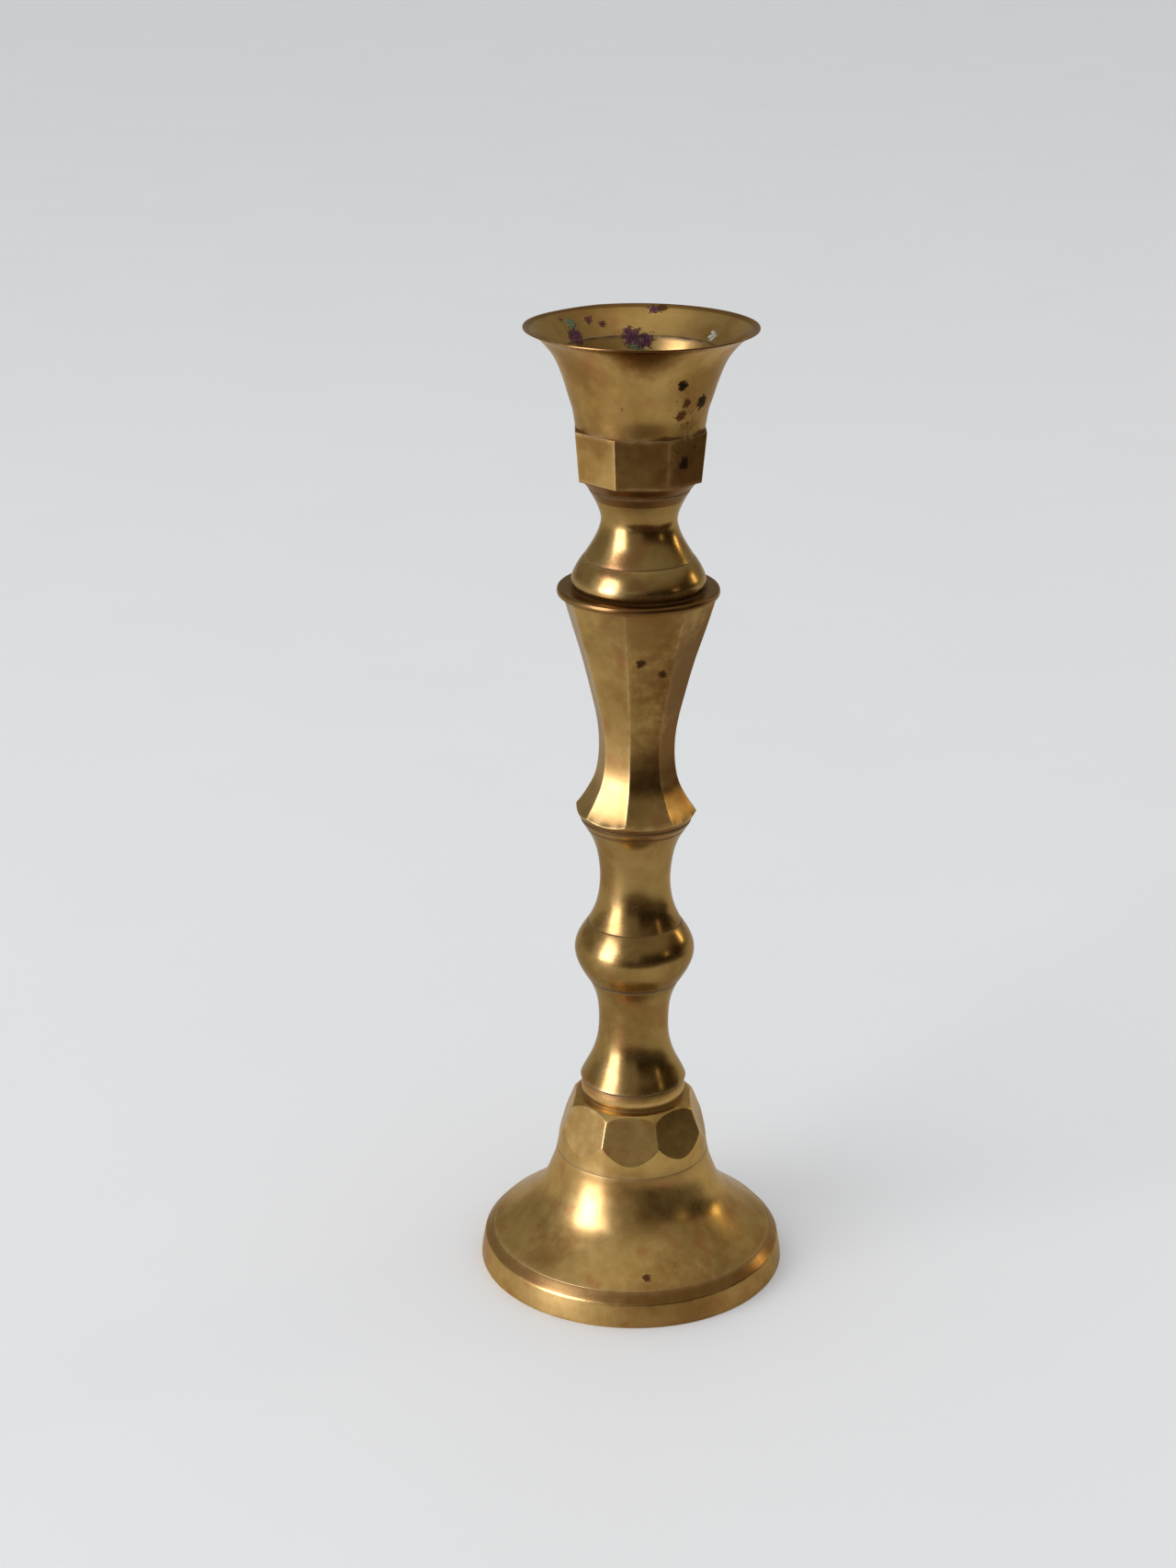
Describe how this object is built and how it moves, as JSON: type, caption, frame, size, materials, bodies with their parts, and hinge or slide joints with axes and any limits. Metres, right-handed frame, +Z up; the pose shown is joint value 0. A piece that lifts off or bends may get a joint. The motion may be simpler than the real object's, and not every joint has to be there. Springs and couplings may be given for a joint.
{
  "type": "candlestick",
  "caption": "Turned brass candlestick: hollow bell foot, waisted spools, faceted column and a flared candle cup, clamped by a long tie bolt.",
  "frame": {"origin": "centre of the base's bottom face, on the table", "axes": "+Z up along the stem, -Y to the front, +X to the right seen from the front"},
  "size_m": [0.0642, 0.0642, 0.2],
  "materials": {
    "base_brass": "worn satin, aged",
    "stem_brass": "worn polish, aged",
    "column_brass": "worn satin, tarnished",
    "cup_brass": "worn satin, stained",
    "plated_steel": "dull zinc plate",
    "spring_steel": "oil-blackened"
  },
  "bodies": {
    "stem": {"base": "base_brass", "lower_spool": "stem_brass", "baluster": "stem_brass", "faceted_column": "column_brass", "neck_bell": "stem_brass", "flat_washer": "plated_steel", "spring_washer": "spring_steel"},
    "bolt": {"tie_bolt": "plated_steel"},
    "cup": {"candle_cup": "cup_brass"}
  },
  "joints": [
    {"name": "cup_lift", "type": "slide", "parent": "stem", "child": "cup", "axis": [0, 0, 1], "range_m": [0, 0.01]},
    {"name": "tie_bolt_turn", "type": "hinge", "parent": "stem", "child": "bolt", "pos_m": [0, 0, 0.034], "axis": [0, 0, -1], "range_deg": [0, 3600]}
  ],
  "couplings": [
    {"joint": "tie_bolt_turn", "follows": "cup_lift", "rad_per_m": 6283.2}
  ]
}
